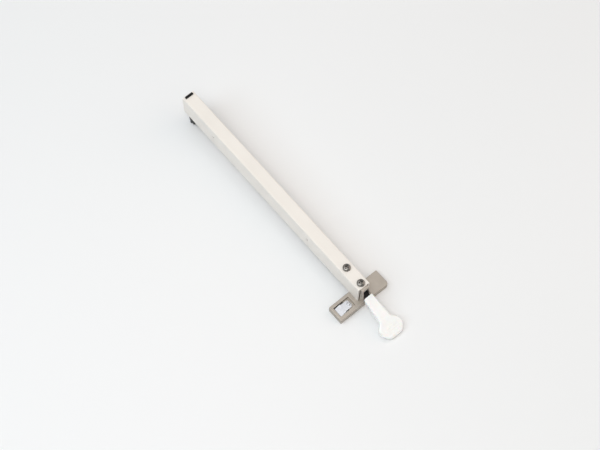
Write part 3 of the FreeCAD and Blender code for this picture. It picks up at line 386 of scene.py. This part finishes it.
def disc_point(u, v):
    """Bend a point of the square from -1 to 1 onto the unit disc."""
    if u == 0 and v == 0:
        return 0.0, 0.0
    if abs(u) > abs(v):
        reach, angle = u, math.pi / 4 * v / u
    else:
        reach, angle = v, math.pi / 2 - math.pi / 4 * u / v
    return reach * math.cos(angle), reach * math.sin(angle)


# %% Build the screws
def screw(name, replaced, turn):
    """A pan-head screw in the place of a CAD one, its cross turned by some degrees."""
    low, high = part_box(replaced)
    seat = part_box("arm_channel")[1].z
    middle = Vector(((low.x + high.x) / 2, (low.y + high.y) / 2, seat))
    head_radius = (high.x - low.x) / 2
    head_height = high.z - seat
    field = head_radius - RIM_ROUND + FIELD_PAST_RIM
    cos_turn, sin_turn = math.cos(math.radians(turn)), math.sin(math.radians(turn))
    mesh = bmesh.new()

    def top(x, y):
        """Height of the head over its seat."""
        dome = head_height - DOME_DROP * (math.hypot(x, y) / field) ** 2
        return dome - recess_depth(x * cos_turn + y * sin_turn, y * cos_turn - x * sin_turn)

    grid = []
    for row in range(CELLS + 1):
        grid.append([])
        for column in range(CELLS + 1):
            x, y = [field * c for c in disc_point(2 * column / CELLS - 1, 2 * row / CELLS - 1)]
            grid[-1].append(mesh.verts.new(middle + Vector((x, y, top(x, y)))))
    for row in range(CELLS):
        for column in range(CELLS):
            mesh.faces.new((grid[row][column], grid[row][column + 1],
                            grid[row + 1][column + 1], grid[row + 1][column]))
    last = [grid[0][n] for n in range(CELLS)]
    last += [grid[n][CELLS] for n in range(CELLS)]
    last += [grid[CELLS][CELLS - n] for n in range(CELLS)]
    last += [grid[CELLS - n][0] for n in range(CELLS)]
    angles = [math.atan2(vert.co.y - middle.y, vert.co.x - middle.x) for vert in last]

    # The rings go over the rim, under the head and down the shank. None marks the thread, whose
    # radius changes round the ring as well.
    profile = []
    shoulder = head_height - DOME_DROP - RIM_FOOT
    for step in range(1, RIM_RINGS + 1):
        arc = math.radians(90 * step / RIM_RINGS)
        reach = field + (head_radius - field) * math.sin(arc)
        profile.append((reach, RIM_FOOT + shoulder * math.cos(arc)))
    profile += [(head_radius, 0.0), (THREAD_RADIUS, 0.0)]
    depth = seat - low.z
    rings = round(depth / THREAD_PITCH * THREAD_RINGS)
    profile += [(None, -depth * (n + 1) / rings) for n in range(rings)]
    for radius, height in profile:
        ring = []
        for angle in angles:
            reach = radius
            if radius is None:
                wave = abs((height / THREAD_PITCH - angle / math.tau) % 1 - 0.5) * 2
                reach = THREAD_RADIUS - THREAD_DEPTH * wave
            offset = Vector((reach * math.cos(angle), reach * math.sin(angle), height))
            ring.append(mesh.verts.new(middle + offset))
        for n in range(len(ring)):
            after = (n + 1) % len(ring)
            mesh.faces.new((last[n], last[after], ring[after], ring[n]))
        last = ring
    mesh.faces.new(last)
    bmesh.ops.recalc_face_normals(mesh, faces=mesh.faces)
    made = finished(name, mesh)
    made.data.materials.append(dark_nickel)
    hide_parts(replaced)
    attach(made, "arm")
    return made


for name, replaced, turn in (("front_pan_screw", "front_top_screw", 62),
                             ("rear_pan_screw", "rear_top_screw", 20)):
    made = screw(name, replaced, turn)
    print(made.name, "has", len(made.data.polygons), "faces")

# %% [markdown]
# ## Floor
# The arm lies on a seamless white sheet. It touches it with the point of its claw and with the
# front edge of the bracket, so the sheet is tilted a little in the object's own frame. White
# paper photographed under soft light is nearly white. Its colour carries that, with no more light
# on the object, and the shadows fall on it.

# %% Lay the floor
HALF_FLOOR = 2.2
CLAW_TIP_INSET = 8.0 * MM
BASE_FRONT = 10.0 * MM
claw_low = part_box("claw")[0]
base_low, base_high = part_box("tee_bracket")
claw_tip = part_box("end_plug")[0].x + CLAW_TIP_INSET
slope = (base_low.z - claw_low.z) / (base_high.x - claw_tip)
floor_mesh = bpy.data.meshes.new("floor")
corners = []
for x, y in ((-1, -1), (1, -1), (1, 1), (-1, 1)):
    rise = (x * HALF_FLOOR - BASE_FRONT) * slope
    corners.append((x * HALF_FLOOR, y * HALF_FLOOR, base_low.z + rise))
floor_mesh.from_pydata(corners, [], [(0, 1, 2, 3)])
floor = bpy.data.objects.new("floor", floor_mesh)
bpy.context.scene.collection.objects.link(floor)
paper, tree, shader = new_material("matt_white_paper", Roughness=0.9)
place = add(tree, "TexCoord").outputs["Object"]
# The sheet's tone drifts over most of a metre.
drift = add(tree, "TexNoise", {"Vector": place, "Scale": 1.2, "Detail": 1.0}).outputs["Fac"]
tree.links.new(ramp(tree, drift, [(0.3, "#eff0f0"), (0.7, "#f3f3f3")]), shader.inputs["Base Color"])
floor_mesh.materials.append(paper)
print("floor slopes", round(math.degrees(math.atan(slope)), 2), "degrees")

# %% [markdown]
# ## Light
# The picture was lit softly from above, with a cooler light on the left and a warmer one on the
# right, and the faint shadows fall to both sides. Three area lamps do the same: the key lamp
# overhead and one on each side. A fourth, wide and dim, hangs where the metal faces mirror it, so
# they reflect an even grey instead of a hot spot. An even pale sky fills the rest. A wide lamp
# gives a soft edge to each shadow.


# %% Hang the lamps
def lamp(name, place, target, width, power, code):
    """A square area lamp that faces a point."""
    data = bpy.data.lights.new(name, "AREA")
    data.size = width
    data.energy = power
    data.color = linear(code)[:3]
    made = bpy.data.objects.new(name, data)
    made.location = place
    made.rotation_euler = (Vector(place) - Vector(target)).to_track_quat("Z", "Y").to_euler()
    bpy.context.scene.collection.objects.link(made)


middle = (cad_box[0] + cad_box[1]) / 2
lamp("key_lamp", (0.3, -0.7, 2.3), middle, 1.1, 17.0, "#fffffe")
lamp("cool_lamp", (-0.5, -1.5, 1.6), middle, 1.0, 9.5, "#e0f0fa")
lamp("warm_lamp", (0.7, 1.4, 1.5), middle, 1.8, 9.0, "#ffe6d2")
lamp("overhead_panel", (-0.65, -0.15, 2.35), middle, 2.2, 13.5, "#ffffff")

world = bpy.data.worlds.new("soft_sky")
bpy.context.scene.world = world
world.use_nodes = True
sky = world.node_tree.nodes["Background"]
sky.inputs["Color"].default_value = linear("#f4f5f6")
sky.inputs["Strength"].default_value = 0.42
print("lamps:", len(bpy.data.lights))

# %% [markdown]
# ## View
# The standard view transform shows colours as they are written. The last lines note the box of
# the CAD model and the box of the dressed one, which must stay within it.

# %% Finish
scene = bpy.context.scene
scene.view_settings.view_transform = "Standard"
